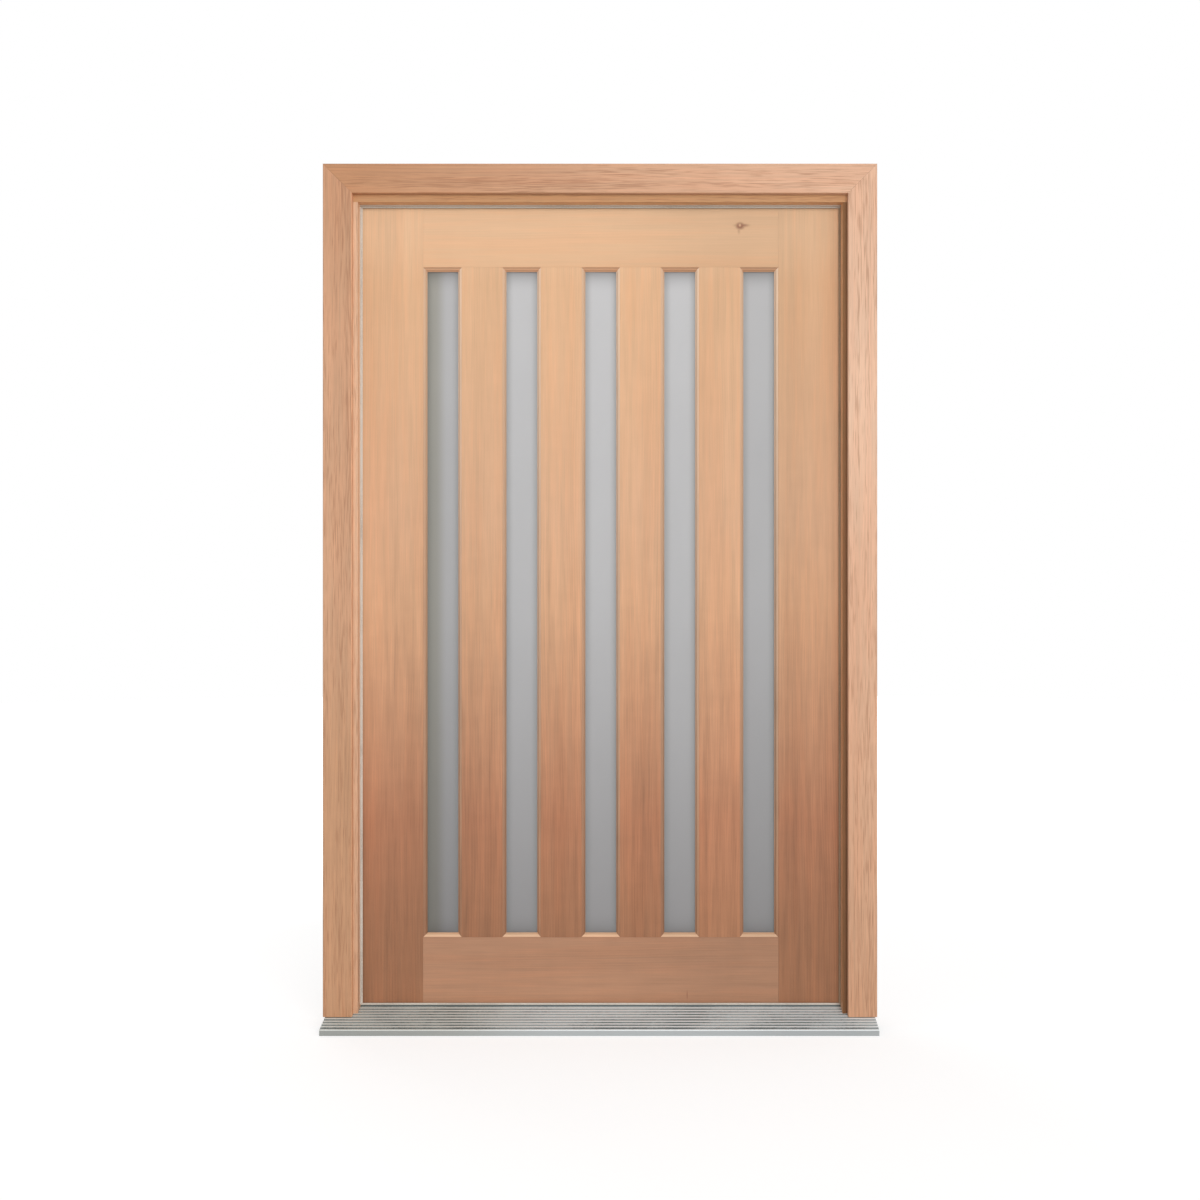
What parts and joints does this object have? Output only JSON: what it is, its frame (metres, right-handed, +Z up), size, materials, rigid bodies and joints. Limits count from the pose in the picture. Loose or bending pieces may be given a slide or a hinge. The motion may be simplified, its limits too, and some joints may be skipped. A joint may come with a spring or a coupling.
{
  "type": "glazed timber entrance door with frame and sill",
  "caption": "Timber entrance door with a row of tall narrow frosted lights, hung on butt hinges in a rebated frame with mitred facings over a ribbed aluminium sill.",
  "frame": {"origin": "on the sill's flat underside, at the middle of the doorway's width, in the plane of the facings' backs, which is the outer face of the wall", "axes": "+X along the wall to the right as seen from outside, +Y into the building, +Z up"},
  "size_m": [1.349, 0.1935, 2.103],
  "materials": {
    "leaf_timber": "fine straight-grained timber under a clear satin finish",
    "frame_timber": "open-grained timber under a clear satin finish",
    "frosted_glass": "translucent frosted pane",
    "sill_aluminium": "satin anodised extrusion",
    "seal_rubber": "pale grey weather seal",
    "hinge_steel": "satin stainless steel"
  },
  "bodies": {
    "frame": {"left_jamb": "frame_timber", "right_jamb": "frame_timber", "head_jamb": "frame_timber", "left_facing": "frame_timber", "right_facing": "frame_timber", "head_facing": "frame_timber", "sill": "sill_aluminium", "left_seal": "seal_rubber", "right_seal": "seal_rubber", "head_seal": "seal_rubber", "sill_seal": "seal_rubber", "hinge_1_frame_plate": "hinge_steel", "hinge_1_pin": "hinge_steel", "hinge_2_frame_plate": "hinge_steel", "hinge_2_pin": "hinge_steel", "hinge_3_frame_plate": "hinge_steel", "hinge_3_pin": "hinge_steel", "hinge_4_frame_plate": "hinge_steel", "hinge_4_pin": "hinge_steel"},
    "leaf": {"hinge_stile": "leaf_timber", "lock_stile": "leaf_timber", "top_rail": "leaf_timber", "bottom_rail": "leaf_timber", "muntin_1": "leaf_timber", "muntin_2": "leaf_timber", "muntin_3": "leaf_timber", "muntin_4": "leaf_timber", "glazing_beads_1": "leaf_timber", "glazing_beads_2": "leaf_timber", "glazing_beads_3": "leaf_timber", "glazing_beads_4": "leaf_timber", "glazing_beads_5": "leaf_timber", "glass_1": "frosted_glass", "glass_2": "frosted_glass", "glass_3": "frosted_glass", "glass_4": "frosted_glass", "glass_5": "frosted_glass", "hinge_1_leaf_plate": "hinge_steel", "hinge_2_leaf_plate": "hinge_steel", "hinge_3_leaf_plate": "hinge_steel", "hinge_4_leaf_plate": "hinge_steel"}
  },
  "joints": [
    {"name": "leaf_swing", "type": "hinge", "parent": "frame", "child": "leaf", "pos_m": [-0.6025, 0.099, 1.032], "axis": [0, 0, 1], "range_deg": [0, 110]}
  ]
}
